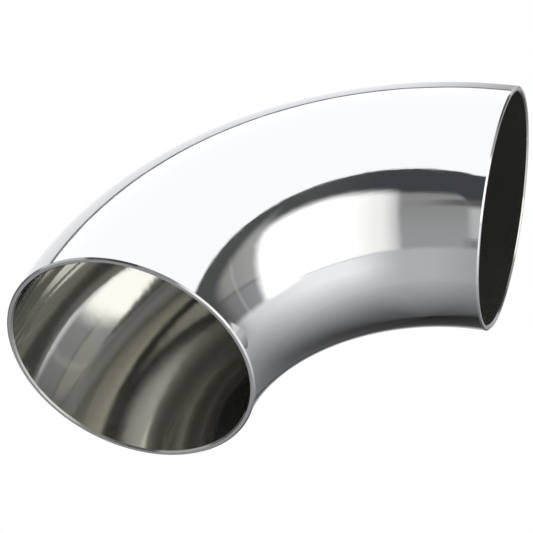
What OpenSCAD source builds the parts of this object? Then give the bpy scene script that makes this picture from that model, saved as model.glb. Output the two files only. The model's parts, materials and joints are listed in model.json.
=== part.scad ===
// Thin-wall stainless pipe elbow with plain weld ends, made from two pressed half shells.
// The halves meet on the plane of the bend and are joined by one seam along the outer curve
// and one along the inner curve. Millimetres, +Z up.
// Origin: centre of the inlet opening, on its weld face. The tube leaves the inlet along +Y and
// turns towards +X, so a 90 degree elbow has its outlet facing +X. The plane z = 0 halves the tube.

/* [Tube] */
// Outside diameter of the tube
tube_od = 51; // [25:0.1:76]
// Wall thickness
wall = 1.2; // [1:0.1:2]

/* [Bend] */
// Angle turned between the inlet and the outlet
bend_angle = 90; // [45:5:90]
// Distance from each weld face to the point where the two port axes cross
centre_to_end = 60.5; // [35:0.5:150]
// Straight length at each port, sized true to the tube for butt welding
end_land = 1.2; // [0.6:0.1:20]
// Chamfer left on the inner and outer edge of each weld face by deburring
deburr = 0.3; // [0.1:0.05:0.4]

/* [Seams] */
// Width of the weld metal between the two half shells
seam_w = 1.6; // [1.5:0.1:4]
// Height of the weld root left standing inside the tube
root_h = 0.05; // [0.05:0.05:0.25]

/* [Hidden] */
$fn = 96;
outer_r = tube_od / 2;
bore_r = outer_r - wall;
bend_r = (centre_to_end - end_land) / tan(bend_angle / 2);

// How far a cutter reaches past the metal that it cuts
overshoot = 1;

steel = [0.80, 0.81, 0.83];
weld_metal = [0.70, 0.70, 0.71];

// Cross-sections. x points away from the centre of the bend, y points up, and the tube's
// centreline passes through the section's origin.

module half_ring() {
    intersection() {
        difference() {
            circle(outer_r);
            circle(bore_r);
        }
        translate([-tube_od, seam_w / 2]) square([2 * tube_od, tube_od]);
    }
}

module seam_strip() {
    half_w = seam_w / 2;
    // The corners where the gap between the half shells meets the bore
    corner_x = sqrt(pow(bore_r, 2) - pow(half_w, 2));
    root_x = corner_x - root_h;
    intersection() {
        circle(outer_r);
        polygon([
            [tube_od, -half_w], [tube_od, half_w],
            [corner_x, half_w], [root_x, half_w / 2], [root_x, -half_w / 2], [corner_x, -half_w]
        ]);
    }
}

// Carries a cross-section from the inlet's weld face, round the bend, to the outlet's.
module along_tube() {
    translate([bend_r, end_land, 0]) {
        rotate([0, 0, 180 - bend_angle])
            rotate_extrude(angle = bend_angle)
                translate([bend_r, 0]) children();
        translate([-bend_r, -end_land, 0])
            straight_land() children();
        rotate([0, 0, -bend_angle])
            translate([-bend_r, 0, 0])
                straight_land() children();
    }
}

module straight_land() {
    rotate([90, 0, 180]) linear_extrude(end_land) children();
}

// What deburring takes off one weld face, with the face at z = 0 and the tube on the +Z side.
module deburr_cut() {
    outer_cut_r = outer_r + overshoot;
    inner_cut_r = bore_r - overshoot;
    depth = deburr + overshoot;
    rotate_extrude() {
        polygon([[outer_r - depth, -overshoot], [outer_cut_r, -overshoot], [outer_cut_r, depth]]);
        polygon([[bore_r + depth, -overshoot], [inner_cut_r, -overshoot], [inner_cut_r, depth]]);
    }
}

module deburred() {
    difference() {
        children();
        rotate([-90, 0, 0]) deburr_cut();
        translate([bend_r, end_land, 0])
            rotate([0, 0, -bend_angle])
                translate([-bend_r, end_land, 0])
                    rotate([90, 0, 0]) deburr_cut();
    }
}

module upper_half_shell() {
    color(steel) deburred() along_tube() half_ring();
}

module lower_half_shell() {
    color(steel) mirror([0, 0, 1]) deburred() along_tube() half_ring();
}

module outer_seam_weld() {
    color(weld_metal) deburred() along_tube() seam_strip();
}

module inner_seam_weld() {
    color(weld_metal) deburred() along_tube() mirror([1, 0]) seam_strip();
}

upper_half_shell();
lower_half_shell();
outer_seam_weld();
inner_seam_weld();
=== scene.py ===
"""Looks of a mirror-polished stainless pipe elbow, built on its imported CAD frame. Metres, +Z up."""
import json
import math

import bmesh
import bpy
from mathutils import Matrix, Vector


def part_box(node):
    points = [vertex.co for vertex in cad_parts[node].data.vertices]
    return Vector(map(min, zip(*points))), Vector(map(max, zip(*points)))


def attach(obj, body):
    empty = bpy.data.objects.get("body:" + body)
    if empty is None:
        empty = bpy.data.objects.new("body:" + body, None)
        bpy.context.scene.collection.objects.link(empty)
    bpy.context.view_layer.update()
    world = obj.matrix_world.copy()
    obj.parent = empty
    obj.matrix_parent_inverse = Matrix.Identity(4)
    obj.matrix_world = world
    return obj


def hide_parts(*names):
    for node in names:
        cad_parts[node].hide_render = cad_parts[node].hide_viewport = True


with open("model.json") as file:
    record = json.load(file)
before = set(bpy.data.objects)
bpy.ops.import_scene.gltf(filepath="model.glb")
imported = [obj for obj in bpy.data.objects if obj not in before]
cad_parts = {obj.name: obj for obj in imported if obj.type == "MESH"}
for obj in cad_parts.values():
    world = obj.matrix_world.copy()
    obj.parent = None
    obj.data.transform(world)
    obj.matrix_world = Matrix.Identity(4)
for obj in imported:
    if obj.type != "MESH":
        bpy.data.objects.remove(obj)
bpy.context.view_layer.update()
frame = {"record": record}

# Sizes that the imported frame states
MOUNTS = {mount["name"]: mount for mount in frame["record"]["mounts"]}
BORE_R = MOUNTS["inlet_bore"]["dims"]["r_mm"] / 1000
OUTER_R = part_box("upper_half_shell")[1].z
SEAM_HALF_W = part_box("upper_half_shell")[0].z
CENTRE_TO_END = MOUNTS["outlet_bore"]["pos_m"][0]

# Sizes that repeat the CAD source's
END_LAND = 0.0012
DEBURR = 0.0003
ROOT_H = 0.00005
BEND_ANGLE = math.radians(90)

BEND_R = CENTRE_TO_END - END_LAND
BEND_CENTRE = Vector((BEND_R, END_LAND, 0))
BEND_LENGTH = BEND_R * BEND_ANGLE

# The weld root inside the tube: how far apart its ripples are, and how deep next to its height
RIPPLE_PITCH = 0.0012
RIPPLE_DEPTH = 0.4

# Mesh fineness: a mirror shows every facet, so the steps are small
BEND_STEPS = 180
RIPPLED_BEND_STEPS = 540
LAND_STEPS = 3
WALL_STEPS = 128
SEAM_STEPS = 8

# Edges that turn by more than this stay crisp, so the chamfers do
SHARP_ANGLE = math.radians(35)

# The places of a piece's three finishes in its list of materials
OUTSIDE, INSIDE, WELD_FACE = range(3)

FLOOR_Z = -OUTER_R


# ---------------------------------------------------------------- the tube's path and sections

def stations(bend_steps):
    """(distance along the tube, how far the chamfers have thinned each side of the wall)."""
    chamfer = [(0, DEBURR), (DEBURR, 0)]
    plain_land = END_LAND - DEBURR
    land = [(DEBURR + plain_land * i / LAND_STEPS, 0) for i in range(1, LAND_STEPS)]
    bend = [(END_LAND + BEND_LENGTH * i / bend_steps, 0) for i in range(bend_steps + 1)]
    total = 2 * END_LAND + BEND_LENGTH
    far_end = [(total - distance, thinned) for distance, thinned in reversed(chamfer + land)]
    return chamfer + land + bend + far_end


def on_tube(distance, across, up):
    """The point at this distance along the tube, at a place in its cross-section."""
    along_bend = min(max(distance - END_LAND, 0), BEND_LENGTH)
    past_bend = distance - END_LAND - along_bend
    turn = along_bend / BEND_R
    outward = Vector((-math.cos(turn), math.sin(turn), 0))
    onward = Vector((math.sin(turn), math.cos(turn), 0))
    return BEND_CENTRE + outward * (BEND_R + across) + onward * past_bend + Vector((0, 0, up))


def arc(radius, first, last, steps):
    """Points on an arc about the centreline, from one angle to another."""
    angles = [first + (last - first) * i / steps for i in range(steps + 1)]
    return [(radius * math.cos(a), radius * math.sin(a)) for a in angles]


def shell_section(side, distance, thinned):
    """Outer and inner rows of points for the upper (side 1) or lower (side -1) half shell.

    They are the same at every distance, apart from what the chamfers have thinned away.
    """
    rows = []
    for radius in (OUTER_R - thinned, BORE_R + thinned):
        start = math.asin(SEAM_HALF_W / radius)
        rows.append([(x, side * y) for x, y in arc(radius, start, math.pi - start, WALL_STEPS)])
    return rows


def seam_section(side, distance, thinned):
    """Outer and inner rows for the outer (side 1) or inner (side -1) curve's seam weld."""
    outer_turn = math.asin(SEAM_HALF_W / (OUTER_R - thinned))
    outer = arc(OUTER_R - thinned, -outer_turn, outer_turn, SEAM_STEPS)
    inner_turn = math.asin(SEAM_HALF_W / (BORE_R + thinned))
    inner = []
    for x, y in arc(BORE_R + thinned, -inner_turn, inner_turn, SEAM_STEPS):
        # The ripples are bowed, because each follows the back of the weld pool
        phase = 2 * math.pi * (distance - y * y / SEAM_HALF_W) / RIPPLE_PITCH
        height = ROOT_H * (1 - RIPPLE_DEPTH * (0.5 + 0.5 * math.cos(phase)))
        inner.append((x - height * math.cos(math.pi / 2 * y / SEAM_HALF_W) ** 2, y))
    return [[(side * x, y) for x, y in row] for row in (outer, inner)]


# ---------------------------------------------------------------- meshes

def swept_mesh(name, section, side, bend_steps):
    """A closed solid with this cross-section all along the tube."""
    verts, faces, uvs, depths, finishes = [], [], [], [], []
    path = stations(bend_steps)
    for distance, thinned in path:
        outer, inner = section(side, distance, thinned)
        for x, y in outer + inner[::-1]:
            verts.append(on_tube(distance, x, y))
            uvs.append((distance, math.atan2(y, x) * OUTER_R))
            depths.append(math.hypot(x, y))
    ring = len(outer) + len(inner)
    for k in range(len(path) - 1):
        for i in range(ring):
            j = (i + 1) % ring
            faces.append((k * ring + i, k * ring + j, (k + 1) * ring + j, (k + 1) * ring + i))
            finishes.append(INSIDE if len(outer) <= i < ring - 1 else OUTSIDE)
    for start in (0, (len(path) - 1) * ring):
        for i in range(len(outer) - 1):
            faces.append((start + i, start + ring - 1 - i, start + ring - 2 - i, start + i + 1))
            finishes.append(WELD_FACE)
    mesh = bpy.data.meshes.new(name)
    mesh.from_pydata(verts, [], faces)
    layer = mesh.uv_layers.new(name="along_and_round")
    for loop in mesh.loops:
        layer.data[loop.index].uv = uvs[loop.vertex_index]
    mesh.attributes.new("from_centreline", "FLOAT", "POINT").data.foreach_set("value", depths)
    mesh.polygons.foreach_set("material_index", finishes)
    return mesh


def face_outwards(mesh):
    """Turns every face of a closed mesh to look out of its solid."""
    bm = bmesh.new()
    bm.from_mesh(mesh)
    bmesh.ops.recalc_face_normals(bm, faces=bm.faces)
    bm.to_mesh(mesh)
    bm.free()


def add_piece(name, mesh, materials, node):
    """Puts a mesh in the scene as the piece that stands for a CAD node."""
    for material in materials:
        mesh.materials.append(material)
    piece = bpy.data.objects.new(name, mesh)
    bpy.context.scene.collection.objects.link(piece)
    face_outwards(mesh)
    mesh.shade_smooth()
    mesh.set_sharp_from_angle(angle=SHARP_ANGLE)
    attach(piece, "root")
    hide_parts(node)


# ---------------------------------------------------------------- shader helpers

def with_alpha(colour):
    """Adds full alpha to (red, green, blue), and leaves a socket as it is."""
    return (*colour, 1) if isinstance(colour, tuple) else colour


class Graph:
    """Adds nodes to one node tree. Most of the methods return the output socket they made."""

    def __init__(self, tree):
        self.tree = tree
        tree.nodes.clear()

    def add(self, kind, inputs=None, **settings):
        """Adds one node and returns it. Each input is a socket to link or a value to set."""
        node = self.tree.nodes.new(kind)
        for key, value in settings.items():
            setattr(node, key, value)
        for key, value in (inputs or {}).items():
            if isinstance(value, bpy.types.NodeSocket):
                self.tree.links.new(value, node.inputs[key])
            else:
                node.inputs[key].default_value = value
        return node

    def math(self, operation, *values):
        node = self.add("ShaderNodeMath", dict(enumerate(values)), operation=operation)
        return node.outputs[0]

    def product(self, first, *others):
        for other in others:
            first = self.math("MULTIPLY", first, other)
        return first

    def ramp(self, value, low, high, start=0.0, end=1.0):
        """Goes smoothly from start to end as value goes from low to high."""
        inputs = {"Value": value, "From Min": low, "From Max": high, "To Min": start, "To Max": end}
        node = self.add("ShaderNodeMapRange", inputs, interpolation_type="SMOOTHSTEP")
        return node.outputs["Result"]

    def band(self, value, centre, edge, core, peak=1.0):
        """Peak where value is within core of the centre, fading to 0 at edge away from it."""
        away = self.math("ABSOLUTE", self.math("SUBTRACT", value, centre))
        return self.ramp(away, edge, core, 0.0, peak)

    def mix(self, factor, first, second):
        """first where factor is 0 and second where it is 1."""
        # Inputs 2 and 3 of this node are for numbers, and 6 and 7 for colours
        inputs = {"Factor": factor, 2: first, 3: second}
        return self.add("ShaderNodeMix", inputs, data_type="FLOAT").outputs[0]

    def mix_colour(self, factor, first, second):
        """The same for colours, each one a socket or (red, green, blue)."""
        inputs = {"Factor": factor, 6: with_alpha(first), 7: with_alpha(second)}
        return self.add("ShaderNodeMix", inputs, data_type="RGBA").outputs[2]

    def noise(self, vector, scale, detail=2.0, roughness=0.5):
        inputs = {"Vector": vector, "Scale": scale, "Detail": detail, "Roughness": roughness}
        return self.add("ShaderNodeTexNoise", inputs).outputs["Fac"]

    def stretched(self, vector, scale):
        node = self.add("ShaderNodeMapping", {"Vector": vector, "Scale": scale})
        return node.outputs["Vector"]

    def bump(self, height, distance, normal=None, strength=1.0):
        """The surface normal once height has lifted the surface by up to distance, in metres."""
        inputs = {"Height": height, "Distance": distance, "Strength": strength}
        if normal is not None:
            inputs["Normal"] = normal
        return self.add("ShaderNodeBump", inputs).outputs[0]

    def finish_steel(self, colour, metallic, rough, normal):
        """Makes the steel's shader and ends the tree with it."""
        shader = self.add("ShaderNodeBsdfPrincipled", {
            "Base Color": with_alpha(colour), "Metallic": metallic, "Roughness": rough,
            "Normal": normal})
        self.add("ShaderNodeOutputMaterial", {"Surface": shader.outputs[0]})


# ---------------------------------------------------------------- materials

def polished_steel(name, colour, roughness, haze, metallic=1.0, grain=(120, 2600), depth=0.0000025):
    """Mirror-polished stainless: slight waves from pressing, and hairlines left by the mops.

    haze is how much rougher the cloudier patches are, and grain is how many marks the hairlines
    have to a metre, along the tube and round it. The other scales are to a metre as well.
    """
    material = bpy.data.materials.new(name)
    material.use_nodes = True
    graph = Graph(material.node_tree)
    place = graph.add("ShaderNodeTexCoord").outputs["Object"]
    along = graph.add("ShaderNodeUVMap", uv_map="along_and_round").outputs["UV"]

    waves = graph.noise(place, 55.0, detail=1.0)
    ripples = graph.noise(place, 330.0, detail=1.0)
    hairlines = graph.noise(graph.stretched(along, (*grain, 1)), 1.0, detail=4.0)
    mottle = graph.noise(place, 260.0, detail=3.0)

    normal = graph.bump(waves, 0.00006, strength=0.7)
    normal = graph.bump(ripples, 0.000008, normal)
    normal = graph.bump(hairlines, depth, normal)
    rough = graph.math("ADD", roughness, graph.product(graph.ramp(mottle, 0.4, 0.75), haze))
    graph.finish_steel(colour, metallic, rough, normal)
    return material


def faced_steel():
    """The weld faces: squared on a lathe, which leaves fine rings and a satin finish."""
    ring_pitch = 0.0002
    wander = 0.0001
    material = bpy.data.materials.new("faced_steel")
    material.use_nodes = True
    graph = Graph(material.node_tree)
    place = graph.add("ShaderNodeTexCoord").outputs["Object"]
    depth = graph.add("ShaderNodeAttribute", attribute_name="from_centreline").outputs["Fac"]
    wandering = graph.math("ADD", depth, graph.product(graph.noise(place, 120.0), wander))
    rings = graph.math("SINE", graph.product(wandering, 2 * math.pi / ring_pitch))
    rough = graph.ramp(graph.noise(place, 900.0, detail=4.0), 0.3, 0.7, 0.42, 0.58)
    graph.finish_steel((0.56, 0.56, 0.565), 1.0, rough, graph.bump(rings, 0.000003))
    return material


# ---------------------------------------------------------------- the studio

class Surroundings(Graph):
    """What the steel mirrors. A direction's azimuth and elevation are in degrees.

    Azimuth 0 is the front and goes up towards the right. Elevation 0 is the horizon.
    """

    def __init__(self, tree):
        super().__init__(tree)
        self.toward = self.add("ShaderNodeTexCoord").outputs["Generated"]
        split = self.add("ShaderNodeSeparateXYZ", {"Vector": self.toward}).outputs
        self.x, self.y, self.z = split[0], split[1], split[2]
        front = self.product(self.y, -1.0)
        self.azimuth = self.math("DEGREES", self.math("ARCTAN2", self.x, front))
        self.elevation = self.math("DEGREES", self.math("ARCSINE", self.z))

    def past_plane(self, normal, value):
        """How far a direction lies past a plane with this normal, less value."""
        inputs = {0: self.toward, 1: normal}
        node = self.add("ShaderNodeVectorMath", inputs, operation="DOT_PRODUCT")
        return self.math("SUBTRACT", node.outputs["Value"], value)

    def azimuth_between(self, left, left_end, right_end, right):
        """1 from left_end to right_end, fading to 0 at left and at right."""
        return self.product(self.ramp(self.azimuth, left, left_end),
                            self.ramp(self.azimuth, right, right_end))


def dim_room(sky):
    """The unlit room above the table, a little lighter towards the right."""
    rightness = sky.ramp(sky.azimuth, 40, 90)
    return sky.mix_colour(rightness, (0.080, 0.087, 0.094), (0.115, 0.119, 0.121))


def grey_card(sky, light):
    """A grey card at the left of the front, brighter at its far edge and smeared in two places."""
    lean = sky.product(sky.azimuth, -0.1)
    dip = sky.ramp(sky.azimuth, -3, -12, 0.0, 8.0)
    top = sky.math("ADD", sky.math("ADD", sky.elevation, lean), dip)
    card = sky.product(sky.azimuth_between(-30, -22, 28, 34), sky.ramp(top, 50.5, 45))
    lowness = sky.ramp(sky.elevation, 45, 5)
    card_light = sky.mix_colour(lowness, (0.385, 0.39, 0.39), (0.47, 0.475, 0.49))
    light = sky.mix_colour(card, light, card_light)
    bright_edge = sky.product(sky.ramp(sky.azimuth, -6, -11), sky.ramp(sky.elevation, 37, 33))
    light = sky.mix_colour(bright_edge, light, (0.70, 0.71, 0.72))
    high_smear = sky.product(sky.band(sky.elevation, 40.0, 4.5, 1.0),
                             sky.ramp(sky.azimuth, 20, -6, 0.1, 0.9))
    low_smear = sky.product(sky.band(sky.elevation, 2.5, 8.5, 2.0),
                            sky.ramp(sky.azimuth, -3, -12, 0.0, 0.8))
    return sky.mix_colour(sky.math("MAXIMUM", high_smear, low_smear), light, (0.17, 0.17, 0.17))


def side_wall(sky, light):
    """A lit wall at the right, with a shelf and one bright upright on it."""
    sloping_top = sky.ramp(sky.math("ADD", sky.elevation, sky.azimuth), 157, 147)
    wall = sky.product(sky.azimuth_between(96, 108, 125, 136), sloping_top)
    upper = sky.mix_colour(sky.ramp(sky.azimuth, 108, 126), (0.52, 0.53, 0.52), (0.42, 0.42, 0.40))
    foot = sky.mix_colour(sky.ramp(sky.azimuth, 108, 128), (0.43, 0.45, 0.47), (0.31, 0.31, 0.32))
    wall_light = sky.mix_colour(sky.ramp(sky.elevation, 14, 10), upper, foot)
    shelf = sky.band(sky.elevation, 12.0, 1.8, 0.6, 0.35)
    wall_light = sky.mix_colour(shelf, wall_light, (0.12, 0.12, 0.12))
    upright = sky.band(sky.azimuth, 121.0, 1.4, 0.4, 0.4)
    wall_light = sky.mix_colour(upright, wall_light, (0.68, 0.68, 0.64))
    return sky.mix_colour(wall, light, wall_light)


def softbox(sky, light):
    """The main light, brighter towards its right."""
    left = sky.ramp(sky.azimuth, 26, 30)
    lean = sky.product(sky.elevation, 0.11)
    right = sky.ramp(sky.math("ADD", sky.azimuth, lean), 112, 104)
    slanted_top = (0.696, -0.493, -0.522)
    top = sky.ramp(sky.past_plane(slanted_top, 0.095), -0.085, 0.06)
    glow = sky.mix_colour(sky.ramp(sky.azimuth, 24, 39), (0.60, 0.61, 0.61), (1.34, 1.35, 1.34))
    glow = sky.mix_colour(sky.ramp(sky.azimuth, 34, 75), glow, (2.08, 2.09, 2.07))
    return sky.mix_colour(sky.product(left, right, top), light, glow)


def table(sky, light):
    """The table: lit by the softbox far off, dark close under the elbow and behind it."""
    # How far up a direction is: 0 is straight down and 1 is the horizon
    lift = sky.math("ADD", sky.z, 1.0)

    def lit(beneath, gain, power):
        """Table light that grows with lift from what it is beneath the elbow."""
        return sky.math("ADD", beneath, sky.product(sky.math("POWER", lift, power), gain))

    front = sky.math("MINIMUM", lit(0.12, 1.64, 1.05), 1.33)
    left = sky.math("MINIMUM", lit(0.12, 0.87, 0.6), 0.67)
    left = sky.product(left, sky.ramp(sky.azimuth, -25, 18, 0.75, 1.0))
    left = sky.product(left, sky.ramp(sky.azimuth, -80, -30, 0.3, 1.0))
    level = sky.mix(sky.ramp(sky.azimuth, 25, 60), left, front)
    corner = sky.product(sky.azimuth_between(120, 136, 142, 160), sky.ramp(sky.elevation, -26, -11))
    right = sky.mix(corner, lit(0.05, 0.98, 1.25), 0.36)
    level = sky.mix(sky.ramp(sky.azimuth, 72, 150), level, right)
    back_left = sky.product(sky.ramp(sky.x, -0.05, -0.3), sky.ramp(sky.y, 0.35, 0.6))
    level = sky.mix(back_left, level, sky.ramp(sky.z, -0.95, -0.84, 0.07, 1.06))
    inputs = {0: (0.985, 1.0, 1.035), "Scale": level}
    table_light = sky.add("ShaderNodeVectorMath", inputs, operation="SCALE").outputs["Vector"]

    # At the right the table ends nearer, so its far edge is seen lower
    lowered = sky.product(sky.azimuth_between(76, 99, 138, 150), 4.5)
    below_edge = sky.ramp(sky.math("ADD", sky.elevation, lowered), 1.5, -4)
    light = sky.mix_colour(below_edge, light, table_light)

    # The line where the table meets the softbox
    line = sky.band(sky.elevation, -2.0, 1.3, 0.3)
    line = sky.product(sky.azimuth_between(28, 40, 86, 98), line, 0.35)
    return sky.mix_colour(line, light, (0.5, 0.5, 0.5))


def white_sweep(sky, light):
    """A bright sweep overhead and behind, with a dark gap where the table ends in front of it."""
    slanted_edge = (-0.351, 0.541, 0.764)
    sweep = sky.ramp(sky.past_plane(slanted_edge, 0.533), -0.012, 0.012)
    above_table = sky.ramp(sky.elevation, -1.0, 0.5)
    light = sky.mix_colour(sky.product(sweep, above_table), light, (1.53, 1.54, 1.57))
    behind = sky.product(sky.ramp(sky.y, 0.3, 0.6), sky.ramp(sky.x, 0.75, 0.45))
    slit = sky.product(sky.ramp(sky.elevation, -3.5, -1.6), sky.ramp(sky.elevation, 1.6, -0.4))
    return sky.mix_colour(sky.product(behind, slit), light, (0.22, 0.22, 0.23))


def studio_world():
    """Lights the elbow by its surroundings: each one covers part of those before it."""
    world = bpy.data.worlds.new("studio")
    bpy.context.scene.world = world
    world.use_nodes = True
    sky = Surroundings(world.node_tree)
    light = dim_room(sky)
    for surrounding in (grey_card, side_wall, softbox, table, white_sweep):
        light = surrounding(sky, light)
    background = sky.add("ShaderNodeBackground", {"Color": light, "Strength": 1.0})
    sky.add("ShaderNodeOutputWorld", {"Surface": background.outputs[0]})


def white_studio_floor():
    """A plain white floor that curves up into walls and a ceiling; only the camera sees it."""
    radius = 3.0
    corner = 0.8
    height = 2.5
    corner_steps = 10
    turns = 96
    profile = [(0.0, 0.0)]
    for i in range(corner_steps + 1):
        turn = math.radians(90) * i / corner_steps
        profile.append((radius - corner + corner * math.sin(turn), corner * (1 - math.cos(turn))))
    profile.append((radius, height))
    profile.append((0.0, height))
    verts, faces = [], []
    for k in range(turns):
        turn = 2 * math.pi * k / turns
        verts += [(r * math.cos(turn), r * math.sin(turn), FLOOR_Z + z) for r, z in profile]
    count = len(profile)
    for k in range(turns):
        following = (k + 1) % turns
        for i in range(count - 1):
            faces.append((k * count + i, following * count + i,
                          following * count + i + 1, k * count + i + 1))
    mesh = bpy.data.meshes.new("white_floor")
    mesh.from_pydata(verts, [], faces)
    floor = bpy.data.objects.new("white_floor", mesh)
    bpy.context.scene.collection.objects.link(floor)
    material = bpy.data.materials.new("white_floor")
    material.use_nodes = True
    graph = Graph(material.node_tree)
    emission = graph.add("ShaderNodeEmission", {"Color": (1, 1, 1, 1), "Strength": 1.0})
    graph.add("ShaderNodeOutputMaterial", {"Surface": emission.outputs[0]})
    mesh.materials.append(material)
    for kind in ("diffuse", "glossy", "transmission", "shadow"):
        setattr(floor, "visible_" + kind, False)


def place_camera():
    """A long lens at the front, a little to the right and well above the elbow."""
    azimuth = math.radians(21.88)
    elevation = math.radians(39.75)
    roll = math.radians(-6.43)
    aim = Vector((0.01747, 0.03258, 0))
    distance = 0.3587
    away = Vector((math.sin(azimuth) * math.cos(elevation),
                   -math.cos(azimuth) * math.cos(elevation), math.sin(elevation)))
    camera = bpy.data.objects.new("camera", bpy.data.cameras.new("camera"))
    camera.data.sensor_width = 36
    camera.data.lens = 119.5
    upright = (-away).to_track_quat("-Z", "Y").to_matrix().to_4x4()
    rolled = upright @ Matrix.Rotation(roll, 4, "Z")
    camera.matrix_world = Matrix.Translation(aim + away * distance) @ rolled
    bpy.context.scene.collection.objects.link(camera)
    bpy.context.scene.camera = camera


def main():
    place_camera()
    # The bore's steel has its own polish and hairlines; its darker colour than the outside is painted
    # shade for the shade inside the tube
    bore = polished_steel("bore_polish_and_painted_shade", (0.487, 0.480, 0.444), 0.04, 0.05, metallic=0.955,
                          grain=(5000, 260), depth=0.000004)
    end = faced_steel()
    steel = polished_steel("mirror_steel", (0.62, 0.62, 0.615), 0.03, 0.04)
    weld = polished_steel("dressed_weld", (0.61, 0.61, 0.60), 0.05, 0.06)
    for half, side in (("upper", 1), ("lower", -1)):
        mesh = swept_mesh(half + "_shell", shell_section, side, BEND_STEPS)
        add_piece(half + "_shell", mesh, (steel, bore, end), half + "_half_shell")
    for curve, side in (("outer", 1), ("inner", -1)):
        mesh = swept_mesh(curve + "_seam", seam_section, side, RIPPLED_BEND_STEPS)
        add_piece(curve + "_seam", mesh, (weld, bore, end), curve + "_seam_weld")
    studio_world()
    white_studio_floor()
    bpy.context.scene.view_settings.view_transform = "Standard"


main()
